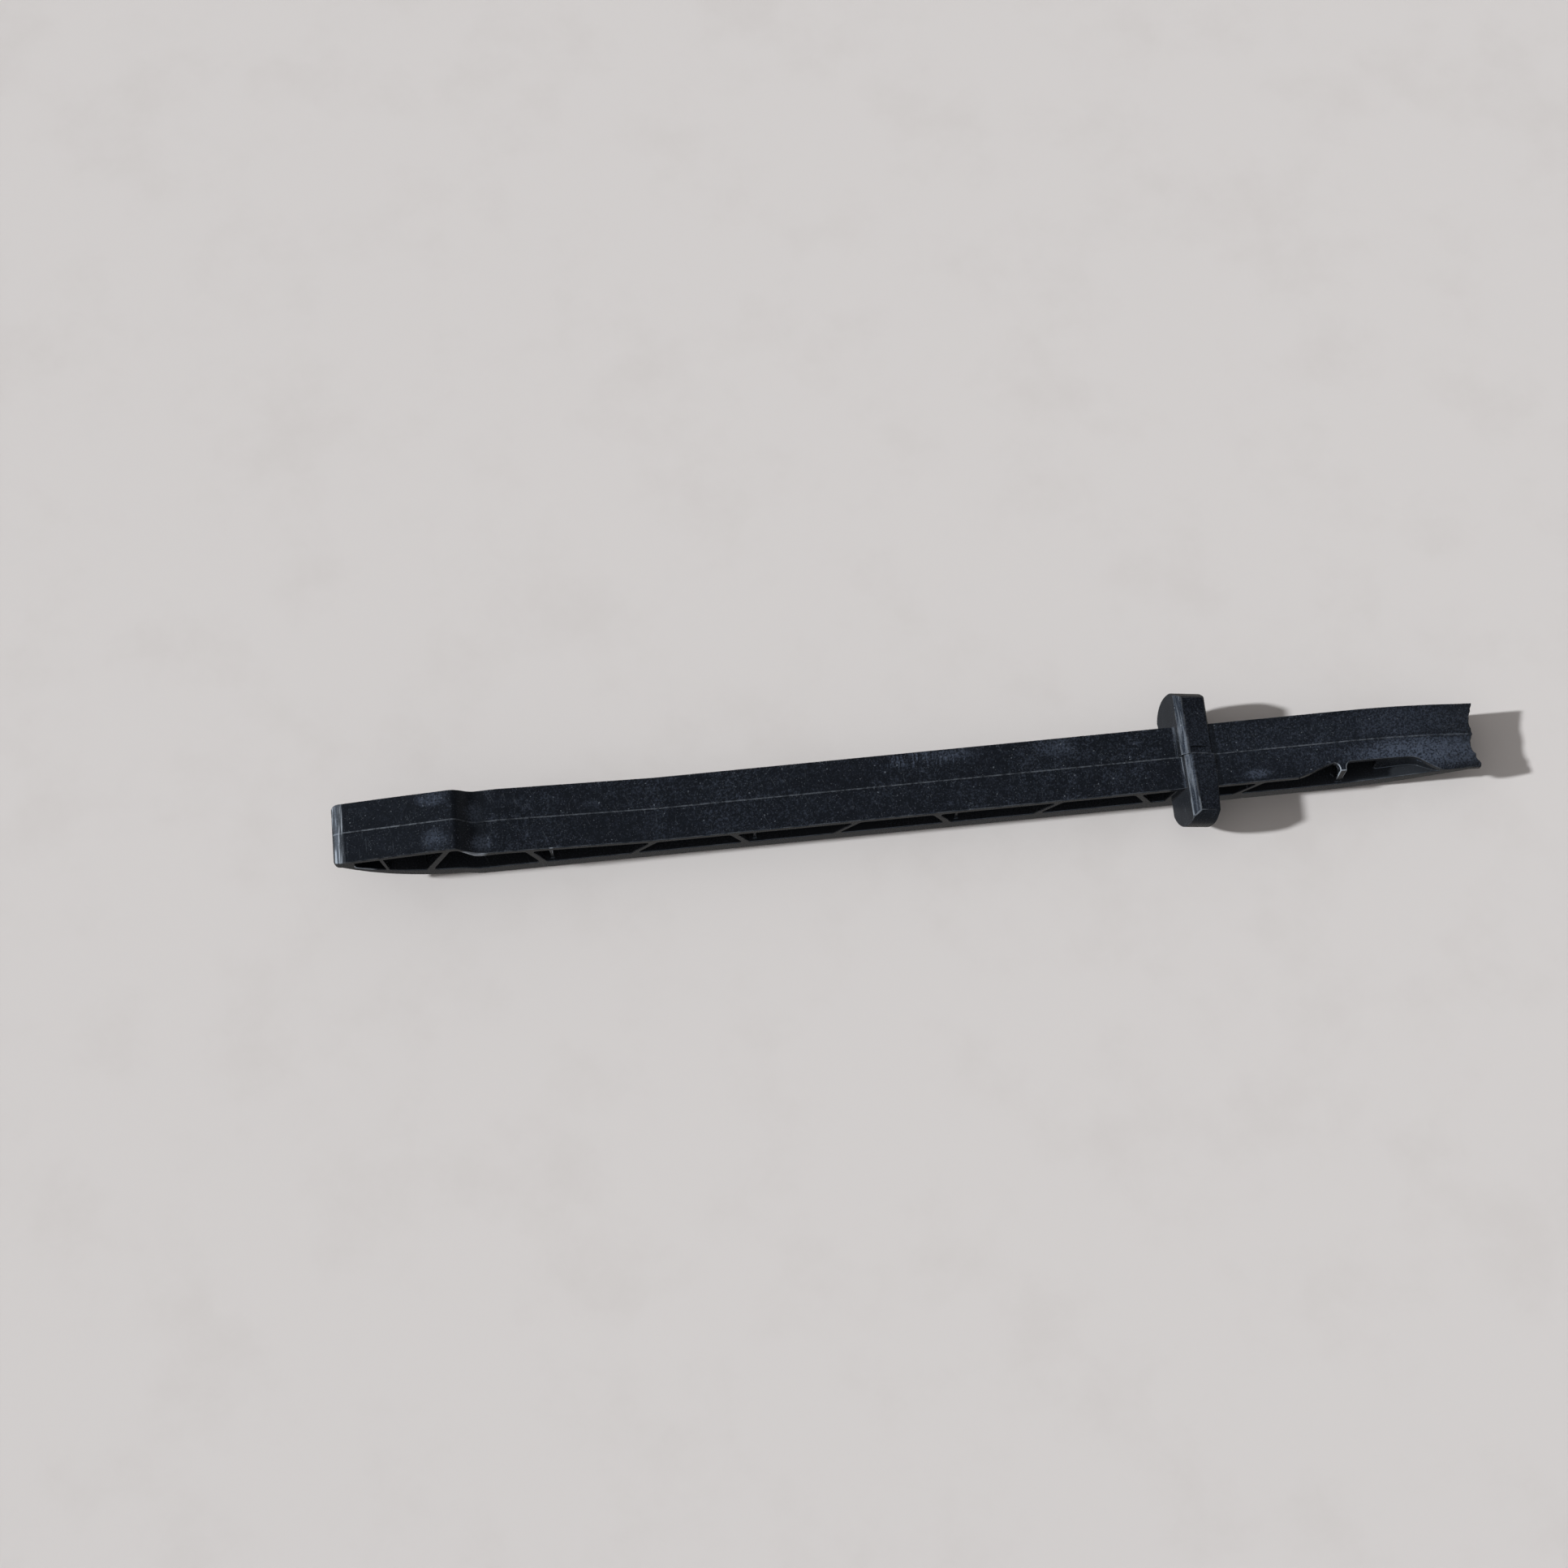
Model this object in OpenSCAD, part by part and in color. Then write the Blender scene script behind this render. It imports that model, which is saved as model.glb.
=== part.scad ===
// Fixed timing chain guide, moulded in one piece from black nylon.
// It stands on its two running lips with its back up, its nose toward -X and its tail toward +X.

/* [Rail] */
// Length from the nose tip to the tips of the lips
rail_length = 240.4; // [234:0.2:256]
// Width over the back flange and over the running lips
rail_width = 13.9; // [13.6:0.1:16]
// Height of the back over the lip edges along the straight run
beam_height = 10.3; // [9.6:0.1:11.6]
// Thickness of the back flange
flange_thickness = 1.4; // [1:0.1:1.8]
// Thickness of the shoe between the chain track and the bays
shoe_thickness = 1.8; // [1.2:0.1:2.2]
// Thickness of the web at mid width
web_thickness = 2.4; // [1.6:0.1:4]

/* [Nose] */
// Radius of the rounded nose tip
nose_radius = 1.4; // [1:0.05:1.6]
// Height of the back at the nose tip
nose_height = 14; // [13.2:0.1:14.8]
// Width of the nose up to the crest
nose_width = 13; // [12:0.1:13.4]
// Radius of the nose corners seen from above
nose_corner = 1; // [0.5:0.1:2]
// Distance of the crest from the nose tip
crest_reach = 24.9; // [24:0.1:26.4]
// Height of the crest
crest_height = 16.3; // [15.2:0.1:17.5]
// Distance of the dip behind the crest from the nose tip
dip_reach = 29.8; // [29:0.1:31]
// Height of the back at the dip
dip_height = 12.6; // [12:0.1:12.8]
// Distance from the nose tip of the low swell behind the dip
swell_reach = 34.4; // [33:0.1:36]
// Height of the back at the swell
swell_height = 12.8; // [12.6:0.1:13.4]
// Distance from the nose tip at which the back levels out
level_reach = 67; // [50:1:80]
// Distance from the nose tip at which the lead-in curve ends
lead_reach = 27.5; // [26:0.5:34]
// Distance from the nose tip at which the lips fade out
lip_fade = 5; // [4:0.1:6]

/* [Chain track] */
// Width of the chain track between the lips
track_width = 11.4; // [10:0.1:12]
// Height of the lips beside the track
lip_height = 1.6; // [1:0.1:2]

/* [Tail] */
// Height of the back at the tail end
tail_height = 7; // [6.8:0.1:8]
// Length of the stretch over which the back falls to the tail end
tail_fall = 27; // [24:1:34]
// Height of the lip edges at the tail end
tail_lift = 5.2; // [4:0.1:5.4]
// Height of the lips at the tail end
tail_lip = 0.4; // [0.2:0.1:0.6]
// Length of the lead-out curve of the lips
lead_out = 38; // [32:1:44]
// Set-back of the flange end behind the tips of the lips
tail_notch = 0.9; // [0.5:0.1:2]
// Length of the solid tail end behind the last bay of the far side
tail_block = 9.7; // [8:0.1:14]
// Depth of the hollow in the near half of the flange end
near_hollow = 1; // [0.4:0.1:1.2]
// Depth of the hollow in the far half of the flange end
far_hollow = 0.3; // [0.2:0.1:1.2]
// Radius of the far tail corner seen from above
tail_corner = 0.6; // [0.2:0.1:0.8]
// Reach of the flared flange beyond the near side at the tail
tail_flare = 0.8; // [0.4:0.1:1.2]

/* [Scallop] */
// Depth of the scallop in one edge of the back flange
scallop_depth = 2.5; // [1.5:0.1:3]
// Distance of the start of the scallop from the tips of the lips
scallop_start = 40.2; // [39:0.2:42]
// Length of the ramp at the start of the scallop
scallop_entry = 10; // [8:0.5:11]
// Distance of the end of the scallop from the tips of the lips
scallop_end = 7.7; // [7:0.1:9]
// Length of the ramp at the end of the scallop
scallop_exit = 7.5; // [5:0.5:9]

/* [Truss] */
// Number of bays from the first rib to the end of the truss
bay_count = 9; // [8:1:10]
// Distance of the first rib from the nose tip
first_rib = 21.2; // [20.5:0.1:22]
// Distance of the end of the truss from the tips of the lips
truss_back = 27.9; // [27:0.1:29]
// Thickness of a rib, measured along the rail
rib_thickness = 1.4; // [1:0.1:2]
// Lean of the ribs whose tops point to the tail
forward_lean = 4.6; // [3:0.1:5.4]
// Lean of the ribs whose tops point to the nose
back_lean = 2.6; // [1.5:0.1:4]
// Shift toward the nose of the ribs whose tops point to the nose
back_shift = 1.2; // [0:0.1:2]
// Radius in the corners of the bays
bay_corner = 0.8; // [0.4:0.1:1]
// Distance of the thin nose rib from the nose tip
nose_rib = 10.1; // [9.6:0.1:11]
// Thickness of the nose rib and of the stiffeners
stiffener_thickness = 0.7; // [0.5:0.1:1]
// Distance of a stiffener from the rib beside it
stiffener_gap = 3.2; // [2.8:0.1:4]
// Set-back of the stiffeners behind the rail side
stiffener_inset = 0.8; // [0.4:0.1:2]
// Distance of the tail post from the end of the truss, toward the nose
post_shift = 1.7; // [1:0.1:2.4]
// Thickness of the tail post, measured along the rail
post_thickness = 1.4; // [1:0.1:2]
// Set-back of the tail post behind the rail side
post_inset = 0.6; // [0.3:0.1:1.2]
// Radius of the fillets that lead the flange into the tail post
post_fillet = 1.3; // [0.8:0.1:1.5]
// Length of the deep pocket behind the tail post
post_pocket = 7; // [5:0.1:8]

/* [Lug] */
// Distance of the lug's middle from the tips of the lips
lug_back = 60.8; // [58:0.2:66]
// Width of the lug across the rail
lug_width = 29; // [25:0.2:32]
// Thickness of the lug
lug_thickness = 6.9; // [6:0.1:7.5]
// Height of the lug along its own slope
lug_height = 10.4; // [9.8:0.1:11]
// Height of the lug's middle over the lip edges
lug_middle = 7; // [6.8:0.1:7.6]
// Lean of the lug toward the tail, in degrees
lug_lean = 18; // [10:1:22]
// Radius of the lug's upper corners
lug_corner = 3.6; // [2:0.1:4]
// Radius of the lug's lower corners
lug_lower_corner = 6; // [3:0.1:6.2]
// Chamfer along the lug's long edges
lug_chamfer = 0.5; // [0.2:0.1:1]
// Bevel along the upper edge of the lug's nose side
lug_bevel = 1.3; // [0.8:0.1:1.6]
// Taper of the tail side of the lug's near half, in degrees
lug_taper = 5; // [2:0.5:6]
// Step between the two halves of the lug, at the parting line
lug_step = 0.6; // [0.2:0.1:0.8]
// Radius of the fillet between the lug's nose side and the back
lug_fillet = 0.8; // [0.4:0.1:1.2]
// Thickness of the wall that closes the bays in front of the lug
lug_root = 0.8; // [0.4:0.1:1.5]
// Length of the gate recess in the lug's top
gate_length = 3.8; // [2:0.1:4.5]
// Width of the gate recess
gate_width = 1.3; // [0.8:0.1:2]
// Depth of the gate recess
gate_depth = 0.4; // [0.2:0.1:0.8]

/* [Parting line] */
// Width of the raised parting line
parting_width = 0.3; // [0.2:0.05:0.5]
// Height of the raised parting line
parting_height = 0.12; // [0.05:0.01:0.2]

/* [Hidden] */
$fn = 64;
half_width = rail_width / 2;
nylon_black = [0.06, 0.06, 0.07];
// Steps along a curved stretch and in a rounded corner
curve_steps = 10;
corner_steps = 5;
// Largest share of a side that one rounded corner takes
corner_share = 0.45;
// Overlap that keeps a cut from sharing a face with what it cuts
cut_margin = 1;

// The lead-in curve rises from the straight run to the underside of the nose tip
nose_underside = nose_height - 2 * nose_radius;
lead_radius = arc_radius(lead_reach - nose_radius, nose_underside);
// The chain track rises less steeply than the lips, so the lips fade out before the nose
fade_rise = lip_z(lip_fade) - lip_height;
track_lead_radius = arc_radius(lead_reach - lip_fade, fade_rise);

lead_out_x = rail_length - lead_out;
lead_out_radius = arc_radius(lead_out, tail_lift);
track_out_radius = arc_radius(lead_out, tail_lift + tail_lip - lip_height);
tail_x = rail_length - tail_fall;

lug_x = rail_length - lug_back;
truss_end = rail_length - truss_back;
post_x = truss_end - post_shift;
rib_pitch = (truss_end - first_rib) / bay_count;
tail_bay_end = rail_length - tail_block;

// Radius of an arc that starts level and rises by a height over a run
function arc_radius(run, rise) = (run * run + rise * rise) / (2 * rise);

// Height of such an arc at a distance from its level start
function arc_rise(radius, run) = radius - sqrt(radius * radius - run * run);

// Smooth step from 0 to 1
function ease(t) = (1 - cos(180 * min(max(t, 0), 1))) / 2;

function blend(from, to, t) = from + (to - from) * t;

// Height of the back along the rail
function back_z(x) =
    x < crest_reach ? blend(nose_height, crest_height, x / crest_reach)
    : x < dip_reach ? blend(crest_height, dip_height, ease((x - crest_reach) / (dip_reach - crest_reach)))
    : x < swell_reach ? blend(dip_height, swell_height, ease((x - dip_reach) / (swell_reach - dip_reach)))
    : x < level_reach ? blend(swell_height, beam_height, (x - swell_reach) / (level_reach - swell_reach))
    : x < tail_x ? beam_height
    : blend(beam_height, tail_height, pow((x - tail_x) / tail_fall, 2));

// Height of the lip edges along the rail
function lip_z(x) =
    x < lead_reach ? arc_rise(lead_radius, lead_reach - x)
    : x < lead_out_x ? 0
    : arc_rise(lead_out_radius, x - lead_out_x);

// Height of the chain track along the rail
function track_z(x) = lip_height + (
    x < lead_reach ? arc_rise(track_lead_radius, lead_reach - x)
    : x < lead_out_x ? 0
    : arc_rise(track_out_radius, x - lead_out_x));

// Upper and lower limits of the bays
function bay_top(x) = back_z(x) - flange_thickness;
function bay_floor(x) = max(track_z(x), lip_z(x)) + shoe_thickness;

// Half width of the rail seen from above
function half_plan(x) =
    blend(nose_width / 2, half_width, ease((x - crest_reach) / (dip_reach - crest_reach)));

// Evenly spaced values from one end to the other
function steps(from, to, count) = [for (i = [0 : count]) blend(from, to, i / count)];

// Points on a circle from one angle to another
function arc(centre, radius, from, to, count) =
    [for (a = steps(from, to, count)) centre + radius * [cos(a), sin(a)]];

// The arc that rounds a corner, held to the room that its two sides leave
function round_corner(before, corner, after, radius) =
    let (
        a = (before - corner) / norm(before - corner),
        b = (after - corner) / norm(after - corner),
        half_angle = acos(a * b) / 2,
        room = corner_share * min(norm(before - corner), norm(after - corner)),
        r = min(radius, room * tan(half_angle)),
        centre = corner + (a + b) / norm(a + b) * r / sin(half_angle),
        first = corner + a * r / tan(half_angle) - centre,
        last = corner + b * r / tan(half_angle) - centre,
        start = atan2(first[1], first[0]),
        turn = (atan2(last[1], last[0]) - start + 540) % 360 - 180
    )
    arc(centre, r, start, start + turn, corner_steps);

// An outline with its listed corners rounded
function round_outline(points, corners, radius) =
    [for (i = [0 : len(points) - 1])
        let (n = len(points))
        each len(search(i, corners)) > 0
            ? round_corner(points[(i + n - 1) % n], points[i], points[(i + 1) % n], radius)
            : [points[i]]];

// Stations at which the curved back and lips are drawn
back_stations = concat(
    steps(nose_radius, crest_reach, 2),
    [for (x = steps(crest_reach, dip_reach, curve_steps)) if (x > crest_reach) x],
    [for (x = steps(dip_reach, swell_reach, curve_steps)) if (x > dip_reach) x],
    [level_reach],
    steps(tail_x, rail_length, curve_steps)
);
lip_stations = concat(
    steps(nose_radius, lead_reach, curve_steps),
    steps(lead_out_x, rail_length, curve_steps)
);

// Ribs as their middle along the rail and the lean of their top
function rib_lean(i) = i % 2 == 0 ? forward_lean : -back_lean;
function rib_middle(i) = first_rib + i * rib_pitch - (i % 2 == 0 ? 0 : back_shift);

// Outline of a bay between two slanted sides, each given as its middle and its lean
function bay_outline(left, left_lean, right, right_lean) =
    let (
        top = steps(left + left_lean / 2, right + right_lean / 2, curve_steps),
        floor = steps(right - right_lean / 2, left - left_lean / 2, curve_steps),
        n = curve_steps
    )
    round_outline(
        concat([for (x = top) [x, bay_top(x)]], [for (x = floor) [x, bay_floor(x)]]),
        [0, n, n + 1, 2 * n + 1],
        bay_corner
    );

// Draws a side outline, in length and height, as a solid between two places across the rail
module across(from, to) {
    translate([0, to, 0])
        rotate([90, 0, 0])
            linear_extrude(to - from) children();
}

// Side outline of the rail, with its rounded nose
module rail_side() {
    nose_centre = [nose_radius, nose_height - nose_radius];
    polygon(concat(
        arc(nose_centre, nose_radius, 270, 90, 2 * curve_steps),
        [for (x = back_stations) if (x > nose_radius) [x, back_z(x)]],
        [for (i = [len(lip_stations) - 1 : -1 : 1]) [lip_stations[i], lip_z(lip_stations[i])]]
    ));
}

// Outline of the rail from above
module rail_plan() {
    stations = concat([0], [for (x = steps(crest_reach, dip_reach, curve_steps)) x], [rail_length]);
    near = [for (x = stations) [x, -half_plan(x)]];
    far = [for (i = [len(stations) - 1 : -1 : 0]) [stations[i], half_plan(stations[i])]];
    sharp_nose = round_outline(concat(near, far), [len(near)], tail_corner);
    polygon(round_outline(sharp_nose, [0, len(sharp_nose) - 1], nose_corner));
}

module rail_blank() {
    intersection() {
        across(-half_width, half_width) rail_side();
        linear_extrude(crest_height + cut_margin) rail_plan();
    }
}

// The bays that both sides of the rail share
module shared_bays() {
    side = rib_thickness / 2;
    polygon(bay_outline(
        nose_radius + 2 * flange_thickness, 0,
        nose_rib - stiffener_thickness / 2, -stiffener_thickness
    ));
    polygon(bay_outline(
        nose_rib + stiffener_thickness / 2, -stiffener_thickness,
        rib_middle(0) - side, rib_lean(0)
    ));
    for (i = [0 : bay_count - 2])
        polygon(bay_outline(
            rib_middle(i) + side, rib_lean(i),
            rib_middle(i + 1) - side, rib_lean(i + 1)
        ));
    polygon(bay_outline(
        rib_middle(bay_count - 1) + side, rib_lean(bay_count - 1),
        post_x - post_thickness / 2, 0
    ));
}

// Thin upright stiffeners beside the ribs that lean to the nose, up to the lug
module stiffeners() {
    for (i = [1 : 2 : bay_count - 3])
        polygon([for (c = [[-1, 0], [1, 0], [1, 1], [-1, 1]])
            let (x = rib_middle(i) + stiffener_gap + c[0] * stiffener_thickness / 2)
            [x, c[1] == 0 ? bay_floor(x) - shoe_thickness / 2 : bay_top(x) + flange_thickness / 2]
        ]);
}

// Slanted wall in front of the lug, so that nothing overhangs the seat on the lug's nose side
module lug_wall() {
    front = (lug_thickness + lug_step) / 2 / cos(lug_lean) + lug_root;
    polygon([for (c = [[-1, 0], [0, 0], [0, 1], [-1, 1]])
        let (z = c[1] == 0 ? lip_height + shoe_thickness / 2 : beam_height - flange_thickness / 2)
        [lug_x + c[0] * front + (z - lug_middle) * tan(lug_lean), z]
    ]);
}

// Everything above the shoe
module above_shoe() {
    stations = steps(lead_out_x - cut_margin, rail_length, 2 * curve_steps);
    polygon(concat(
        [for (x = stations) [x, bay_floor(x)]],
        [[rail_length, crest_height], [lead_out_x - cut_margin, crest_height]]
    ));
}

// Outline from above of the scallop in the near edge of the flange
module scallop_plan() {
    first = rail_length - scallop_start;
    last = rail_length - scallop_end;
    stations = concat(
        steps(first, first + scallop_entry, curve_steps),
        steps(last - scallop_exit, last, curve_steps)
    );
    polygon(concat(
        [for (x = stations)
            let (depth = scallop_depth * ease((x - first) / scallop_entry) * ease((last - x) / scallop_exit))
            [x, depth - half_width]],
        [[last, -half_width - cut_margin], [first, -half_width - cut_margin]]
    ));
}

// Outline from above of the tail post, which keeps its reach inside the scallop
module post_plan() {
    wide = post_thickness / 2;
    fillet_x = wide + post_fillet;
    fillet_y = scallop_depth - half_width - post_fillet;
    polygon(concat(
        arc([post_x - fillet_x, fillet_y], post_fillet, 90, 0, corner_steps),
        [for (side = [-1, 1]) [post_x + side * wide, post_inset - half_width]],
        arc([post_x + fillet_x, fillet_y], post_fillet, 180, 90, corner_steps),
        [for (side = [1, -1]) [post_x + side * fillet_x, 0]]
    ));
}

module scallop() {
    difference() {
        intersection() {
            linear_extrude(crest_height) scallop_plan();
            across(-half_width - cut_margin, 0) above_shoe();
        }
        linear_extrude(crest_height) post_plan();
    }
}

// The flange flares out past the near side between the scallop and the tail end
module tail_flange() {
    last = rail_length - scallop_end;
    ramp = steps(last - scallop_exit, last, curve_steps);
    stations = [for (x = back_stations) if (x >= tail_x) x];
    intersection() {
        across(-half_width - tail_flare, 0)
            polygon(concat(
                [for (x = stations) [x, back_z(x)]],
                [for (i = [len(stations) - 1 : -1 : 0]) [stations[i], bay_top(stations[i])]]
            ));
        linear_extrude(crest_height)
            polygon(concat(
                [for (x = ramp)
                    [x, blend(-tail_flare, scallop_depth, ease((last - x) / scallop_exit)) - half_width]],
                [[rail_length, -tail_flare / 2 - half_width], [rail_length, 0], [last - scallop_exit, 0]]
            ));
    }
}

// The chain track between the lips
module chain_track() {
    stations = concat(
        steps(lip_fade, lead_reach, curve_steps),
        steps(lead_out_x, rail_length + cut_margin, curve_steps)
    );
    across(-track_width / 2, track_width / 2)
        polygon(concat(
            [for (x = stations) [x, track_z(x)]],
            [[rail_length + cut_margin, -cut_margin], [lip_fade, -cut_margin]]
        ));
}

// The flange end lies behind the tips of the lips and has a shallow hollow on each side
module tail_end() {
    hollow_width = track_width / 2;
    end_x = rail_length - tail_notch;
    translate([end_x, -track_width / 2, 0])
        cube([tail_notch + cut_margin, track_width, crest_height]);
    for (side = [-1, 1]) {
        depth = side < 0 ? near_hollow : far_hollow;
        radius = arc_radius(hollow_width / 2, depth);
        translate([end_x - depth + radius, side * hollow_width / 2, 0])
            cylinder(r = radius, h = crest_height);
    }
}

// Cross-section of the lug, in thickness and height
module lug_section() {
    wide = lug_thickness / 2;
    tall = lug_height / 2;
    polygon([
        [-wide, lug_chamfer - tall], [lug_chamfer - wide, -tall],
        [wide - lug_chamfer, -tall], [wide, lug_chamfer - tall],
        [wide, tall - lug_chamfer], [wide - lug_chamfer, tall],
        [lug_bevel - wide, tall], [-wide, tall - lug_bevel]
    ]);
}

// Face of the lug, in width and height
module lug_face() {
    wide = lug_width / 2;
    tall = lug_height / 2;
    upper = [wide, tall] - [lug_corner, lug_corner];
    lower = [wide, -tall] - [lug_lower_corner, -lug_lower_corner];
    polygon([
        [-upper[0], tall], [-wide, upper[1]], [-wide, lower[1]], [-lower[0], -tall],
        [lower[0], -tall], [wide, lower[1]], [wide, upper[1]], [upper[0], tall]
    ]);
    for (side = [-1, 1]) {
        translate([side * upper[0], upper[1]]) circle(lug_corner);
        translate([side * lower[0], lower[1]]) circle(lug_lower_corner);
    }
}

// What the taper takes off the tail side of the lug's near half
module lug_draft() {
    translate([lug_thickness / 2, 0, -lug_height])
        rotate([0, 0, -lug_taper])
            translate([0, -lug_width, 0])
                cube([lug_thickness, lug_width, 2 * lug_height]);
}

// The far half of the lug stands a little nearer to the nose than the near half
module lug() {
    ridge = lug_thickness - 2 * lug_bevel - lug_step;
    for (side = [-1, 1])
        translate([-side * lug_step / 2, 0, 0])
            difference() {
                intersection() {
                    across(min(side, 0) * lug_width, max(side, 0) * lug_width) lug_section();
                    rotate([90, 0, 90])
                        translate([0, 0, -lug_thickness / 2])
                            linear_extrude(lug_thickness) lug_face();
                }
                if (side < 0) lug_draft();
            }
    translate([-ridge / 2, -parting_width / 2, 0])
        cube([ridge, parting_width, lug_height / 2 + parting_height]);
}

// Fillet between the nose side of one half of the lug and the back
module lug_foot(side) {
    away = (lug_thickness + side * lug_step) / 2 / cos(lug_lean);
    corner = [lug_x - away + (beam_height - lug_middle) * tan(lug_lean), beam_height];
    up = [sin(lug_lean), cos(lug_lean)];
    reach = lug_fillet / corner_share;
    polygon(concat(
        round_corner(corner - [reach, 0], corner, corner + reach * up, lug_fillet),
        [corner + [lug_fillet, -flange_thickness / 2]]
    ));
}

module gate_recess() {
    translate([lug_bevel - lug_thickness / 2, parting_width, lug_height / 2 - gate_depth])
        cube([gate_length, gate_width, gate_depth + cut_margin]);
}

module place_lug() {
    translate([lug_x, 0, lug_middle])
        rotate([0, lug_lean, 0]) children();
}

// Raised line along the back where the mould halves met
module parting_line() {
    last = rail_length - tail_notch - near_hollow;
    stations = concat([for (x = back_stations) if (x < last) x], [last]);
    across(-parting_width / 2, parting_width / 2)
        polygon(concat(
            [for (x = stations) [x, back_z(x) + parting_height]],
            [for (i = [len(stations) - 1 : -1 : 0])
                [stations[i], back_z(stations[i]) - flange_thickness / 2]]
        ));
}

module trussed_rail() {
    web = web_thickness / 2;
    deep = half_width + cut_margin;
    difference() {
        rail_blank();
        across(-deep, -web) shared_bays();
        across(web, deep) shared_bays();
        across(-deep, -web)
            polygon(bay_outline(
                post_x + post_thickness / 2, 0,
                post_x + post_thickness / 2 + post_pocket, 0
            ));
        across(web, deep)
            polygon(bay_outline(post_x + post_thickness / 2, 0, tail_bay_end, 0));
        scallop();
    }
    reach = half_width - stiffener_inset;
    across(-reach, reach) stiffeners();
    across(-half_width, half_width) lug_wall();
    across(-half_width, 0) lug_foot(-1);
    across(0, half_width) lug_foot(1);
    tail_flange();
    parting_line();
}

module guide_rail() {
    color(nylon_black)
        translate([-rail_length / 2, 0, 0])
            difference() {
                union() {
                    trussed_rail();
                    place_lug() lug();
                }
                place_lug() gate_recess();
                chain_track();
                tail_end();
            }
}

guide_rail();
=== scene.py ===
"""Dresses a one-piece timing chain guide of black nylon and sets it on a pale floor."""

import logging
import math
from dataclasses import dataclass
from enum import Enum
from typing import Any

import bmesh
import bpy
from mathutils import Matrix, Vector, noise


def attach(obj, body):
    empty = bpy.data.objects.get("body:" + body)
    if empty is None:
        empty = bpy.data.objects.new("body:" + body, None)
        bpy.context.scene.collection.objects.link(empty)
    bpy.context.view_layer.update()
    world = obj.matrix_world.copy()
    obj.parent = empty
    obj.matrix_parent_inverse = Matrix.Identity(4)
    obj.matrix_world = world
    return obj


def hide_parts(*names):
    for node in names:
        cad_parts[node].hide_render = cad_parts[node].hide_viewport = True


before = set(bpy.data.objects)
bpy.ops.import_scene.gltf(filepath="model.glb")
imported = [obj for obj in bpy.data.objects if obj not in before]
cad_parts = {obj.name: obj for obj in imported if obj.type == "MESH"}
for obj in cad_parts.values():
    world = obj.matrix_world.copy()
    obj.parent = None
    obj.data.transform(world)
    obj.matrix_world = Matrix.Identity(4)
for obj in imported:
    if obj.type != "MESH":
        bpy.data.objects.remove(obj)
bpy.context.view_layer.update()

LOG = logging.getLogger("chain_guide")
MM = 0.001
Colour = tuple[float, float, float]
Point = tuple[float, float, float]


class Heading(Enum):
    """Directions in the plane of the back that marks on it run in, as turns about Z in degrees."""

    ALONG = 0.0
    ACROSS = 90.0
    RISING = 24.0
    FALLING = -38.0


class Flow:
    """A value or colour that runs through a shader, with arithmetic that adds Math nodes."""

    def __init__(self, shader: "Shader", node: bpy.types.Node, output: int | str = 0) -> None:
        """Keeps what the flow stands for.

        Args:
            shader: Shader that has the node.
            node: Node that gives the value or colour.
            output: Which of its outputs is meant.
        """
        self.shader = shader
        self.node = node
        self.socket = node.outputs[output]

    def out(self, output: int | str) -> "Flow":
        """Another output of the same node."""
        return Flow(self.shader, self.node, output)

    def _math(self, operation: str, first: "Flow | float", second: "Flow | float") -> "Flow":
        """One Math node on two terms."""
        return self.shader.node("ShaderNodeMath", {"operation": operation}, {0: first, 1: second})

    def __add__(self, other: "Flow | float") -> "Flow":
        """Sum."""
        return self._math("ADD", self, other)

    def __radd__(self, other: float) -> "Flow":
        """Sum with a number first."""
        return self._math("ADD", other, self)

    def __sub__(self, other: "Flow | float") -> "Flow":
        """Difference."""
        return self._math("SUBTRACT", self, other)

    def __rsub__(self, other: float) -> "Flow":
        """Difference with a number first."""
        return self._math("SUBTRACT", other, self)

    def __mul__(self, other: "Flow | float") -> "Flow":
        """Product."""
        return self._math("MULTIPLY", self, other)

    def __rmul__(self, other: float) -> "Flow":
        """Product with a number first."""
        return self._math("MULTIPLY", other, self)

    def __pow__(self, other: float) -> "Flow":
        """Power."""
        return self._math("POWER", self, other)

    def __abs__(self) -> "Flow":
        """Size without the sign."""
        return self._math("ABSOLUTE", self, 0.0)

    def larger(self, other: "Flow | float") -> "Flow":
        """The larger of two values."""
        return self._math("MAXIMUM", self, other)


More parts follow.
